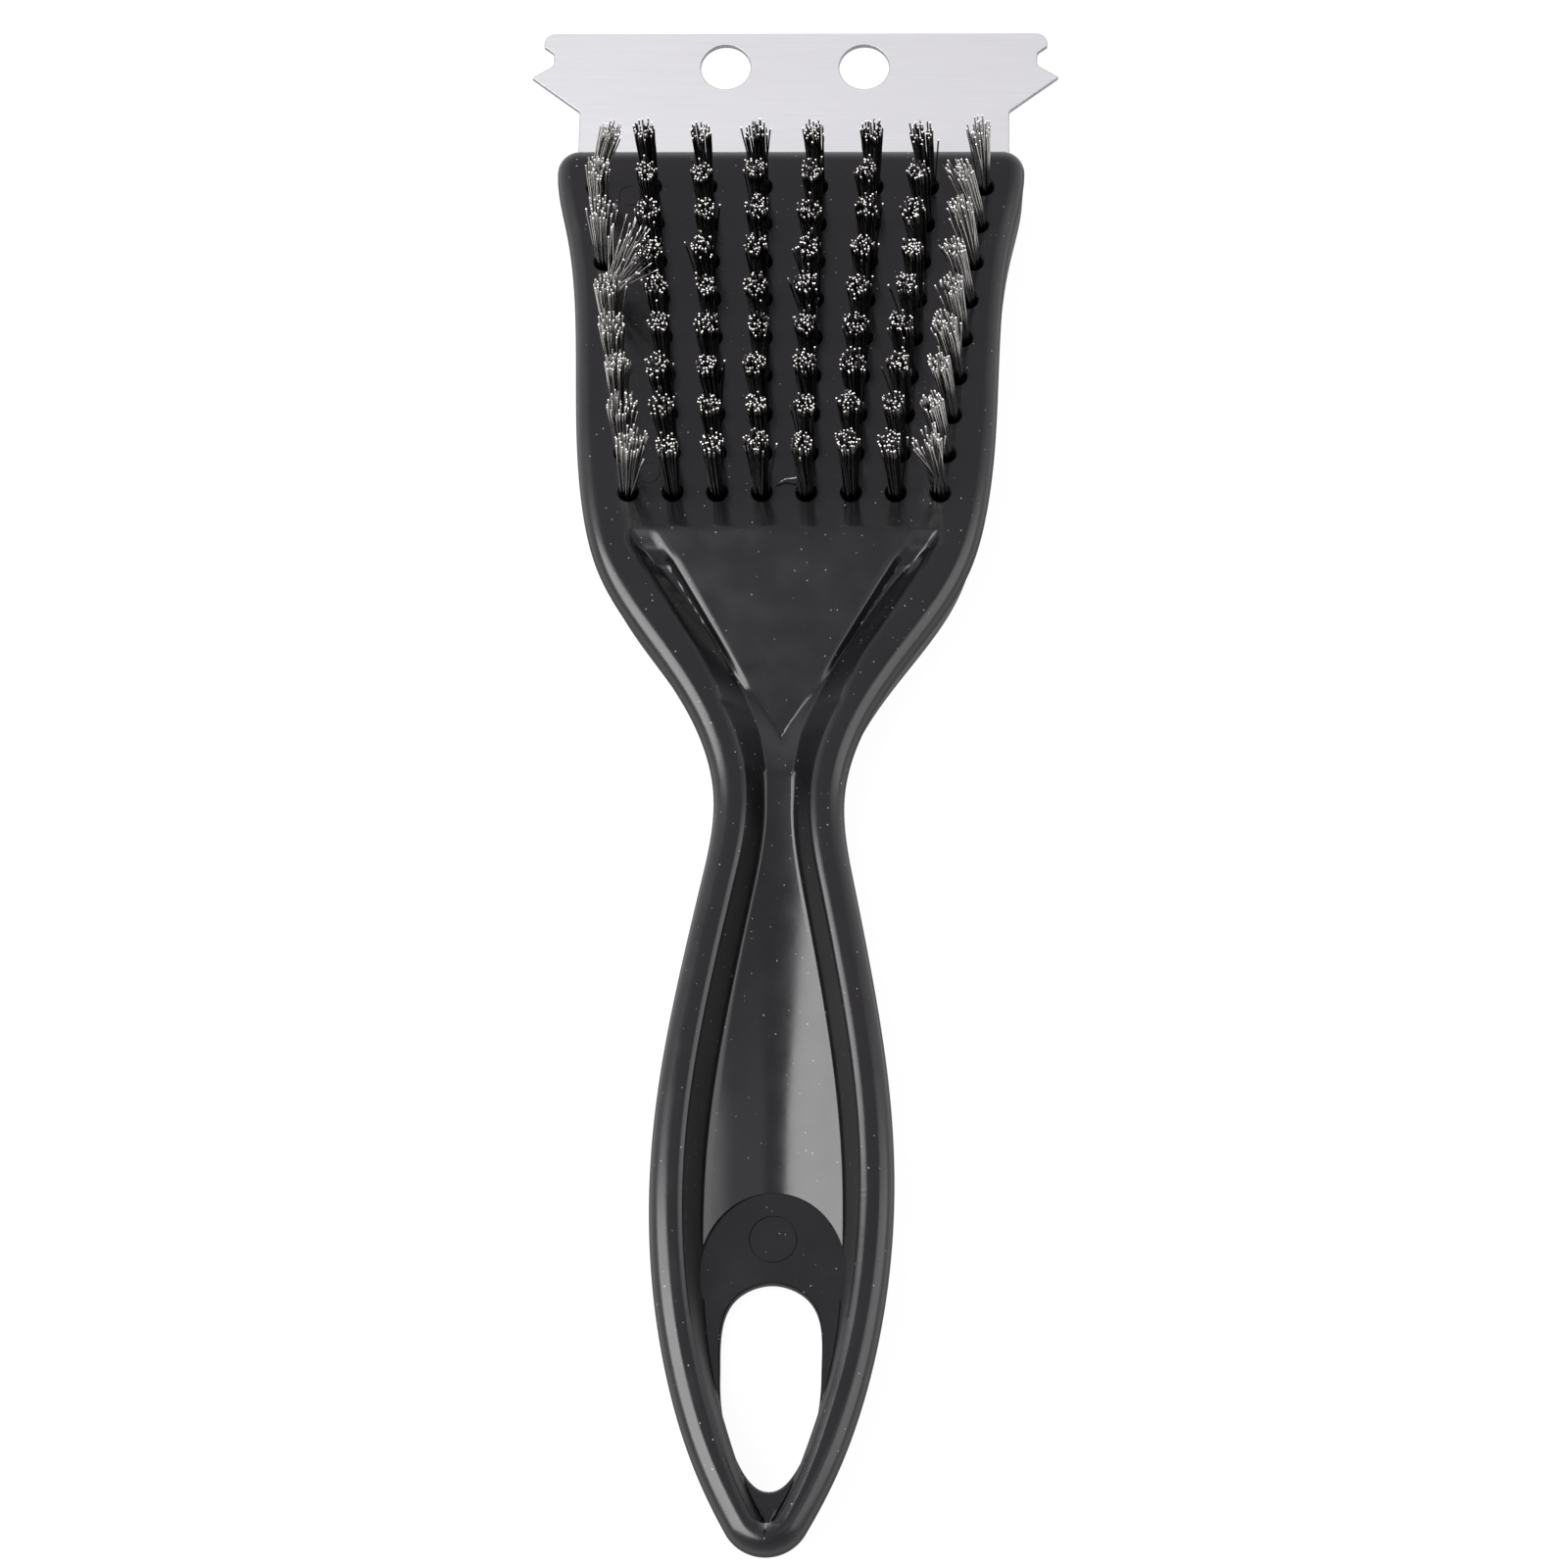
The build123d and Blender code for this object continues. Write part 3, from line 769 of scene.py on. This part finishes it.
def moulded_polypropylene():
    """Black polypropylene, injection moulded in a polished tool: glossy on its flat faces, softer
    where hands rub its bead and slopes, and matt down the steep walls, with a faint flow grain and a
    few specks of dust."""
    made, tree, surface = material("moulded_black_polypropylene")
    sources = add(tree, "ShaderNodeTexCoord").outputs
    where = sources["Object"]
    cloud = add(tree, "ShaderNodeTexNoise", {"Scale": per_mm / 14, "Detail": 3.0}, {"Vector": where})
    base = ramp_between(tree, cloud.outputs["Fac"], [(0.3, colour("#0b0b0c")), (0.7, colour("#100f11"))])
    speck = add(tree, "ShaderNodeTexVoronoi", {"Scale": per_mm / 0.8, "Randomness": 1.0},
                {"Vector": where})
    chosen = add(tree, "ShaderNodeSeparateColor", {}, {"Color": speck.outputs["Color"]})
    size = add(tree, "ShaderNodeMapRange", {"From Min": 0.5, "From Max": 1.0, "To Min": 0.0,
               "To Max": 0.12}, {"Value": chosen.outputs["Red"]})
    dust = add(tree, "ShaderNodeMath", {"operation": "LESS_THAN"},
               {0: speck.outputs["Distance"], 1: size.outputs["Result"]})
    coloured = add(tree, "ShaderNodeMix", {"data_type": "RGBA", 7: colour("#8a8886")},
                   {0: dust.outputs[0], 6: base.outputs["Color"]})
    tree.links.new(coloured.outputs[2], surface.inputs["Base Color"])
    wear = add(tree, "ShaderNodeTexNoise", {"Scale": per_mm / 5, "Detail": 6.0, "Roughness": 0.6},
               {"Vector": where})
    polish = add(tree, "ShaderNodeMapRange", {"From Min": 0.3, "From Max": 0.75, "To Min": 0.1,
                 "To Max": 0.18}, {"Value": wear.outputs["Fac"]})
    facing = add(tree, "ShaderNodeSeparateXYZ", {}, {"Vector": sources["Normal"]})
    steep = add(tree, "ShaderNodeMapRange", {"From Min": 0.5, "From Max": 0.3, "To Min": 0.0,
                "To Max": 0.5}, {"Value": facing.outputs["Z"]})
    turned = add(tree, "ShaderNodeMapRange", {"From Min": 0.998, "From Max": 0.96, "To Min": 0.0,
                 "To Max": 0.1}, {"Value": facing.outputs["Z"]})
    rubbed_and_painted_lit = add(tree, "ShaderNodeMath", {"operation": "ADD"},
                 {0: polish.outputs["Result"], 1: turned.outputs["Result"]})
    rough = add(tree, "ShaderNodeMath", {"operation": "ADD"},
                {0: rubbed_and_painted_lit.outputs[0], 1: steep.outputs["Result"]})
    tree.links.new(rough.outputs[0], surface.inputs["Roughness"])
    grain = add(tree, "ShaderNodeTexNoise", {"Scale": per_mm / 0.35, "Detail": 2.0}, {"Vector": where})
    fine = add(tree, "ShaderNodeBump", {"Strength": 0.12, "Distance": 0.02 * MM},
               {"Height": grain.outputs["Fac"]})
    tree.links.new(fine.outputs["Normal"], surface.inputs["Normal"])
    surface.inputs["IOR"].default_value = 1.49
    return made


def rolled_stainless():
    """Stainless sheet, cold rolled and linished: bright satin with fine lines along the roll."""
    made, tree, surface = material("linished_stainless_sheet")
    where = add(tree, "ShaderNodeTexCoord").outputs["Object"]
    long_way = add(tree, "ShaderNodeMapping", {"Scale": (0.02, 1.0, 1.0)}, {"Vector": where})
    lines = add(tree, "ShaderNodeTexNoise", {"Scale": per_mm / 0.16, "Detail": 3.0},
                {"Vector": long_way.outputs["Vector"]})
    tint = ramp_between(tree, lines.outputs["Fac"], [(0.2, colour("#d5d6d5")), (0.8, colour("#dbdcdb"))])
    tree.links.new(tint.outputs["Color"], surface.inputs["Base Color"])
    rough = add(tree, "ShaderNodeMapRange", {"To Min": 0.4, "To Max": 0.46},
                {"Value": lines.outputs["Fac"]})
    tree.links.new(rough.outputs["Result"], surface.inputs["Roughness"])
    fine = add(tree, "ShaderNodeBump", {"Strength": 0.03, "Distance": 0.01 * MM},
               {"Height": lines.outputs["Fac"]})
    tree.links.new(fine.outputs["Normal"], surface.inputs["Normal"])
    surface.inputs["Metallic"].default_value = 1.0
    return made


def steel(name, grain, detail, low, high, roughness):
    """Steel whose shade wanders between two colours over stretches of about grain mm."""
    made, tree, surface = material(name)
    where = add(tree, "ShaderNodeTexCoord").outputs["Object"]
    cloud = add(tree, "ShaderNodeTexNoise", {"Scale": per_mm / grain, "Detail": detail},
                {"Vector": where})
    tint = ramp_between(tree, cloud.outputs["Fac"], [(0.3, colour(low)), (0.7, colour(high))])
    tree.links.new(tint.outputs["Color"], surface.inputs["Base Color"])
    surface.inputs["Metallic"].default_value = 1.0
    surface.inputs["Roughness"].default_value = roughness
    return made


def cut_wire_end_painted_glint():
    """Fresh cut across the wire, brighter than its side and coloured near white and matt, so that each
    end
    shows as a light dot: partly the real cut, partly a painted highlight. Some ends are coloured dark."""
    made, tree, surface = material("cut_wire_end_painted_glint")
    where = add(tree, "ShaderNodeTexCoord").outputs["Object"]
    ends = add(tree, "ShaderNodeTexVoronoi", {"Scale": per_mm / 0.3, "Randomness": 1.0},
               {"Vector": where})
    each = add(tree, "ShaderNodeSeparateColor", {}, {"Color": ends.outputs["Color"]})
    tint = ramp_between(tree, each.outputs["Red"], [(0.3, colour("#2c2b2a")), (0.4, colour("#c9c7c2")),
                                                    (0.6, colour("#fcfaf6"))])
    tree.links.new(tint.outputs["Color"], surface.inputs["Base Color"])
    surface.inputs["Metallic"].default_value = 0.2
    surface.inputs["Roughness"].default_value = 0.6
    return made


# ---------------------------------------------------------------- scraper

def filleted(points, radii):
    """Closed outline with rounded corners; a radius of 0 keeps a corner."""
    made = []
    count = len(points)
    for i, (corner, radius) in enumerate(zip(points, radii)):
        p = Vector(corner)
        if not radius:
            made.append(tuple(p))
            continue
        before = (Vector(points[i - 1]) - p).normalized()
        after = (Vector(points[(i + 1) % count]) - p).normalized()
        half = before.angle(after) / 2
        middle = p + (before + after).normalized() * radius / math.sin(half)
        start = p + before * radius / math.tan(half) - middle
        stop = p + after * radius / math.tan(half) - middle
        turn = start.angle_signed(stop)
        steps = max(3, round(abs(turn) / 0.2))
        for k in range(steps + 1):
            a = math.atan2(start.y, start.x) - turn * k / steps
            made.append((middle.x + radius * math.cos(a), middle.y + radius * math.sin(a)))
    return made


# The sheet: its tongue lies in the seat, and its horns are (x, distance from the tip, corner radius).
tongue_half, tongue_length, sheet_half, shoulder_gap = 23.0, 20.0, 29.65, 0.6
horns = [(sheet_half, 12.3, 0.7), (36.5, 6.9, 0.12), (33.45, 5.0, 0.9), (33.6, 3.0, 0.7),
         (34.95, 2.0, 0.3), (34.95, 0.0, 1.5)]
sheet_hole_x, sheet_hole_from_tip, sheet_hole_radius = 9.6, 5.3, 3.475
screw_hole_radius = 1.5
edge_roll = 0.09


def scraper_outline():
    """Right side from the seated end to the front, then the left side back."""
    shoulder_y = front_y + shoulder_gap
    right = [(tongue_half, front_y - tongue_length, 0.6), (tongue_half, shoulder_y, 0),
             (sheet_half, shoulder_y, 0.2)]
    right += [(x, tip_y - back, radius) for x, back, radius in horns]
    left = [(-x, y, r) for x, y, r in reversed(right)]
    both = right + left
    return filleted([(x, y) for x, y, _ in both], [r for *_, r in both])


def circle(x, y, radius, steps):
    """Outline of a round hole."""
    return [(x + radius * math.cos(a), y + radius * math.sin(a))
            for a in np.linspace(0, 2 * math.pi, steps + 1)[:-1]]


def scraper(face, edge):
    """Stamped sheet with slightly rolled edges and two round holes."""
    low, high = scraper_low.z, scraper_high.z
    bm = bmesh.new()
    loops = [scraper_outline()]
    loops += [circle(side * sheet_hole_x, tip_y - sheet_hole_from_tip, sheet_hole_radius, 72)
              for side in (-1, 1)]
    loops += [circle(x, y, screw_hole_radius, 32) for x, y in screw_spots()]
    edges = []
    for loop in loops:
        ring = [bm.verts.new(place(x, y, low)) for x, y in loop]
        edges += [bm.edges.new((ring[i], ring[(i + 1) % len(ring)])) for i in range(len(ring))]
    bmesh.ops.triangle_fill(bm, edges=edges, use_beauty=True, use_dissolve=False)
    bmesh.ops.dissolve_limit(bm, angle_limit=0.01, verts=bm.verts[:], edges=[
        e for e in bm.edges if len(e.link_faces) == 2])
    faces = bm.faces[:]
    raised = bmesh.ops.extrude_face_region(bm, geom=faces)
    bmesh.ops.translate(bm, verts=[v for v in raised["geom"] if isinstance(v, bmesh.types.BMVert)],
                        vec=(0, 0, (high - low) * MM))
    bmesh.ops.recalc_face_normals(bm, faces=bm.faces[:])
    rim = [e for e in bm.edges if len(e.link_faces) == 2
           and abs(e.link_faces[0].normal.z) + abs(e.link_faces[1].normal.z) > 0.5
           and abs(e.link_faces[0].normal.z * e.link_faces[1].normal.z) < 0.5]
    bmesh.ops.bevel(bm, geom=rim, offset=edge_roll * MM, segments=2, profile=0.5, affect="EDGES",
                    clamp_overlap=True)
    bmesh.ops.triangulate(bm, faces=[f for f in bm.faces if len(f.verts) > 4])
    mesh = bpy.data.meshes.new("scraper_sheet")
    bm.to_mesh(mesh)
    bm.free()
    mesh.materials.append(face)
    mesh.materials.append(edge)
    flat = [abs(polygon.normal.z) > 0.999 for polygon in mesh.polygons]
    mesh.polygons.foreach_set("material_index", [0 if level else 1 for level in flat])
    piece = bpy.data.objects.new("scraper_sheet", mesh)
    bpy.context.scene.collection.objects.link(piece)
    shade(piece, 50)
    mesh.polygons.foreach_set("use_smooth", [not level for level in flat])
    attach(piece, "root")
    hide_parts("scraper")
    return piece


# ---------------------------------------------------------------- bristles

wire_radius, wire_sides = 0.115, 5
hairpins = 20  # wires folded under each staple, two ends from each
bundle_radius, least_spacing = tuft_hole_radius - 0.32, 0.16  # of the wires in their hole
bundle_squeeze = 0.8  # how much narrower a bundle is at its staple
staple_z, staple_clearance = body_height - tuft_hole_depth + 0.45, 0.35
crimp, tip_crimp = 0.035, 0.02
bristle_height = 16.0
tip_depths = (1.1, 0.08)  # how far the lowest and the highest tips stay below that
# Ranges that each tuft's lean and spread, and each wire's bend, are drawn from.
lean_across, lean_along, tip_spread = (-0.45, 0.15), (-0.3, 0.3), (1.35, 1.75)
outer_wander, left_spread, right_spread = (-0.2, 0.2), (1.5, 2.1), (1.5, 1.9)
next_to_right_lean = -0.5
wire_bend = (1.0, 1.12)  # 1 is straight; above it a leg curves outwards towards its tip
# Share of the wires that stray from their bundle, and how far those and the others wander.
stray_share, strays, others = 0.12, (0.5, 1.3), (-0.2, 0.2)
# Share of a worn tuft's wires that fan out, and how much lower they end than straight ones would.
fanned_share, fanned_loss = 0.9, (0.3, 2.5)
# How far the tips of the outer columns stand from their roots to the right, from the row nearest
# the handle; the other tufts stand nearly straight.
left_leans = (1.5, 0.9, 0.5, 0.6, 0.3, 0.8, 0.7, 1.1, 3.0)
right_leans = (-1.9, -1.8, -1.6, -1.6, -1.3, -1.7, -1.8, -2.9, -0.9)
# Worn tufts whose wires fan out: (row, column): (first and last direction, nearest and farthest tip)
fanned = {(5, 0): (-35, 70, 3.0, 8.0), (0, 7): (60, 200, 0.5, 3.6)}


def scattered(rng, count, radius, least):
    """Places in a disc that keep apart from each other."""
    made = []
    while len(made) < count:
        for _ in range(60):
            a, r = rng.uniform(0, 2 * math.pi), radius * math.sqrt(rng.random())
            p = (r * math.cos(a), r * math.sin(a))
            if all(math.dist(p, q) > least for q in made):
                break
        made.append(p)
    return made


def wire_tube(path, cut_faces, verts, faces):
    """Thin tube along a path of points, closed by a flat cut at each end."""
    rings = []
    for i, p in enumerate(path):
        ahead = Vector(path[min(i + 1, len(path) - 1)]) - Vector(path[max(i - 1, 0)])
        side = ahead.cross(Vector((0.31, 0.95, 0.02))).normalized()
        other = ahead.cross(side).normalized()
        ring = []
        for k in range(wire_sides):
            a = 2 * math.pi * k / wire_sides
            q = Vector(p) + wire_radius * (math.cos(a) * side + math.sin(a) * other)
            ring.append(len(verts))
            verts.append(tuple(q))
        rings.append(ring)
    for a, b in zip(rings, rings[1:]):
        for k in range(wire_sides):
            j = (k + 1) % wire_sides
            faces.append((a[k], a[j], b[j], b[k]))
    cut_faces.append(len(faces))
    faces.append(tuple(rings[0][::-1]))
    cut_faces.append(len(faces))
    faces.append(tuple(rings[-1]))


def leg(rng, root, face, tip, height, bend):
    """Points up one leg of a wire, from the staple to its cut end, with a little crimp."""
    points = [root, (face[0], face[1], body_height - 0.3)]
    steps = 6
    for i in range(1, steps + 1):
        s = i / steps
        reach = s**bend
        most = crimp if i < steps else tip_crimp
        points.append((mix(face[0], tip[0], reach) + rng.uniform(-most, most),
                       mix(face[1], tip[1], reach) + rng.uniform(-most, most),
                       body_height + height * s))
    return points


def tuft_lean(row, column, rng):
    """How far a tuft's tips stand from its root, in x and y, and how wide they spread."""
    lean_x, lean_y, spread = (rng.uniform(*span) for span in (lean_across, lean_along, tip_spread))
    if column == 0:
        lean_x, spread = left_leans[row] + rng.uniform(*outer_wander), rng.uniform(*left_spread)
    if column == tuft_columns - 2:
        lean_x += next_to_right_lean
    if column == tuft_columns - 1:
        lean_x, spread = right_leans[row] + rng.uniform(*outer_wander), rng.uniform(*right_spread)
    return lean_x, lean_y, spread


def wire_tip(rng, spot, foot, fan):
    """Where one wire of a tuft ends, and how high above the head's face."""
    (x, y), (lean_x, lean_y, spread) = spot
    if fan and rng.random() < fanned_share:
        first, last, near, far = fan
        turn, reach = math.radians(rng.uniform(first, last)), rng.uniform(near, far)
        height = math.sqrt(bristle_height**2 - reach**2) - rng.uniform(*fanned_loss)
        return x + reach * math.cos(turn), y + reach * math.sin(turn), height
    out = spread / bundle_radius
    stray = rng.uniform(*strays) if rng.random() < stray_share else rng.uniform(*others)
    turn = rng.uniform(0, 2 * math.pi)
    return (x + lean_x + foot[0] * out + stray * math.cos(turn),
            y + lean_y + foot[1] * out + stray * math.sin(turn),
            rng.uniform(*(bristle_height - depth for depth in tip_depths)))


def shed_wire():
    """Path of a wire that lies caught between two tufts of the first row."""
    start, stop = (-1.0, row_y[0] + 1.0, body_height + 0.3), (2.7, row_y[0] + 1.9, body_height + 1.4)
    path = [tuple(mix(a, b, t) for a, b in zip(start, stop)) for t in (0, 0.3, 0.65, 1)]
    x, y, z = path[1]
    path[1] = (x, y + 0.35, z)
    return path


def bristle_row(row, shade_painted_wire, painted_glint_end, light_painted_wire):
    """The tufts of one row: bundles of wire folded under their staples."""
    rng = random.Random(410 + row)
    verts, faces, cut_faces, column_ends = [], [], [], []
    for column, (x, y) in enumerate(tuft_spots(row)):
        spot = (x, y), tuft_lean(row, column, rng)
        roots = scattered(rng, 2 * hairpins, bundle_radius, least_spacing)
        roots.sort(key=lambda p: p[1])
        for k in range(hairpins):
            near, far = roots[k], roots[2 * hairpins - 1 - k]
            legs = []
            for (rx, ry), side in ((near, -1), (far, 1)):
                *tip, height = wire_tip(rng, spot, (rx, ry), fanned.get((row, column)))
                root = (x + rx * bundle_squeeze, y + side * staple_clearance, staple_z + 0.4)
                legs.append(leg(rng, root, (x + rx, y + ry), tip, height, rng.uniform(*wire_bend)))
            fold = [(x + near[0] * bundle_squeeze, y, staple_z - 0.2)]
            wire_tube(legs[0][::-1] + fold + legs[1], cut_faces, verts, faces)
        column_ends.append(len(faces))
    if row == 0:
        wire_tube(shed_wire(), cut_faces, verts, faces)
    piece = make_object(f"bristle_row_{row + 1}", verts, faces, [shade_painted_wire, painted_glint_end, light_painted_wire])
    mesh = piece.data
    mesh.polygons.foreach_set("use_smooth", [True] * len(mesh.polygons))
    # The outer columns take the lighter copy of the wire (painted light), the inner tufts the darker one
    # (painted shade).
    outer = [i < column_ends[0] or i >= column_ends[-2] for i in range(len(faces))]
    mesh.polygons.foreach_set("material_index", [2 if rubbed_and_painted_lit else 0 for rubbed_and_painted_lit in outer])
    # Each cut end takes the near-white end finish: partly the real cut, partly a painted highlight.
    for index in cut_faces:
        mesh.polygons[index].material_index = 1
        mesh.polygons[index].use_smooth = False
    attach(piece, "root")
    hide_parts(f"tuft_row_{row + 1}")
    return piece


# ---------------------------------------------------------------- stage, camera and light

camera_tilt, camera_turn, camera_roll = (math.radians(a) for a in (21.0, 2.1, 1.05))
camera_distance, camera_lens, aim_to_the_right = 562.5, 101.25, 0.7
# Softboxes: (name, angle from overhead to the left of its two edges, its two ends along the brush in
# metres, radiance)
softboxes = [("key_left", (19, 57), (-0.75, 0.49), 7.8), ("fill_right", (-34, -72), (-0.6, 0.5), 2.3),
             ("fill_right_inner", (-22, -34), (-0.6, 0.5), 0.55)]
softbox_distance = 1.2


def floor():
    """White table top, lit from within so that it stays even, and too wide for its edge to show."""
    made, tree, surface = material("pale_table")
    surface.inputs["Base Color"].default_value = colour("#585858")
    surface.inputs["Roughness"].default_value = 0.9
    surface.inputs["Specular IOR Level"].default_value = 0.0
    surface.inputs["Emission Color"].default_value = colour("#ffffff")
    surface.inputs["Emission Strength"].default_value = 0.93
    mesh = bpy.data.meshes.new("table")
    reach, gap = 12.0, 0.02 * MM  # half its width in metres, and how far it lies under the brush
    mesh.from_pydata([(-reach, -reach, 0), (reach, -reach, 0), (reach, reach, 0), (-reach, reach, 0)],
                     [], [(0, 1, 2, 3)])
    mesh.materials.append(made)
    table = bpy.data.objects.new("table", mesh)
    bpy.context.scene.collection.objects.link(table)
    table.location.z = -gap


def camera():
    """Stands over the handle and looks down at the brush, a little towards the head."""
    tilt, turn, roll = camera_tilt, camera_turn, camera_roll
    away = Vector((math.sin(turn), -math.sin(tilt) * math.cos(turn), math.cos(tilt) * math.cos(turn)))
    target = place(aim_to_the_right, 0, body_height)
    up = (Vector((0, 1, 0)) - away * away.y).normalized()
    right = up.cross(away)
    rolled_up = up * math.cos(roll) - right * math.sin(roll)
    rolled_right = right * math.cos(roll) + up * math.sin(roll)
    data = bpy.data.cameras.new("camera")
    data.sensor_width, data.lens = 36.0, camera_lens
    data.clip_start, data.clip_end = 0.05, 50
    made = bpy.data.objects.new("camera", data)
    bpy.context.scene.collection.objects.link(made)
    turn_matrix = Matrix((rolled_right, rolled_up, away)).transposed().to_4x4()
    made.matrix_world = Matrix.Translation(target + away * camera_distance * MM) @ turn_matrix
    bpy.context.scene.camera = made


def softbox(name, angles, span, radiance):
    """Rectangular soft light of an even brightness, along the brush and turned towards it."""
    edges = [Vector((-math.sin(math.radians(a)), 0, math.cos(math.radians(a)))) * softbox_distance
             for a in angles]
    across = (edges[0] + edges[1]) / 2
    data = bpy.data.lights.new(name, "AREA")
    data.shape = "RECTANGLE"
    data.size, data.size_y = (edges[0] - edges[1]).length, span[1] - span[0]
    data.energy = radiance * math.pi * data.size * data.size_y
    made = bpy.data.objects.new(name, data)
    bpy.context.scene.collection.objects.link(made)
    made.location = (across.x, (span[0] + span[1]) / 2, across.z)
    made.rotation_mode = "QUATERNION"
    made.rotation_quaternion = across.to_track_quat("Z", "Y")


def surroundings():
    """White room, dimmer overhead and brighter beyond the head."""
    world = bpy.data.worlds.new("studio")
    world.use_nodes = True
    tree = world.node_tree
    tree.nodes.clear()
    where = add(tree, "ShaderNodeTexCoord").outputs["Generated"]
    parts = add(tree, "ShaderNodeSeparateXYZ", {}, {"Vector": where})
    # (sine of the height above the floor, light there)
    walls = [(0.0, (1, 1, 1, 1)), (0.35, (0.8, 0.78, 0.83, 1)), (0.8, (0.5, 0.475, 0.525, 1))]
    height = ramp_between(tree, parts.outputs["Z"], walls)
    ahead = add(tree, "ShaderNodeMapRange", {"From Min": -0.1, "From Max": 0.5, "To Min": 0.85,
                "To Max": 1.35}, {"Value": parts.outputs["Y"]})
    light = add(tree, "ShaderNodeVectorMath", {"operation": "SCALE"},
                {0: height.outputs["Color"], "Scale": ahead.outputs["Result"]})
    back = add(tree, "ShaderNodeBackground", {}, {"Color": light.outputs["Vector"]})
    add(tree, "ShaderNodeOutputWorld", {}, {"Surface": back.outputs[0]})
    bpy.context.scene.world = world


def light_and_view():
    """Everything round the brush."""
    camera()
    floor()
    surroundings()
    for settings in softboxes:
        softbox(*settings)
    bpy.context.scene.view_settings.view_transform = "Standard"


# ---------------------------------------------------------------- everything together

light_and_view()
handle(moulded_polypropylene())
# The sheet's cut edge: darker and rougher than its faces, with lines down through it.
sheared_edge = steel("sheared_stainless_edge", 0.25, 4.0, "#77767a", "#a3a2a6", 0.45)
scraper(rolled_stainless(), sheared_edge)
# Carbon steel wire, drawn smooth, so it mirrors what is beside it. Two copies of it differ only in
# painted light: a darker one, painted shade, for the inner tufts and a lighter one, painted light, for
# the outer columns.
shade_painted_wire = steel("drawn_steel_wire_painted_shade", 0.5, 3.0, "#3e3c3b", "#666462", 0.14)
light_painted_wire = steel("drawn_steel_wire_painted_light", 0.5, 3.0, "#8a8887", "#bab8b5", 0.14)
painted_glint_end = cut_wire_end_painted_glint()
for row in range(tuft_rows):
    bristle_row(row, shade_painted_wire, painted_glint_end, light_painted_wire)
# Bare steel strip for the staples, grey and slightly clouded; zinc plate on the screws, paler and
# glossier.
staple_steel = steel("plain_steel_staple", 0.8, 4.0, "#8b8a88", "#a9a7a4", 0.4)
screw_steel = steel("zinc_plated_screw", 0.8, 4.0, "#a8aaad", "#c6c8ca", 0.3)
for name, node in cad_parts.items():
    for start, finish in (("staple_row", staple_steel), ("scraper_screws", screw_steel)):
        if name.startswith(start):
            node.data.materials.clear()
            node.data.materials.append(finish)
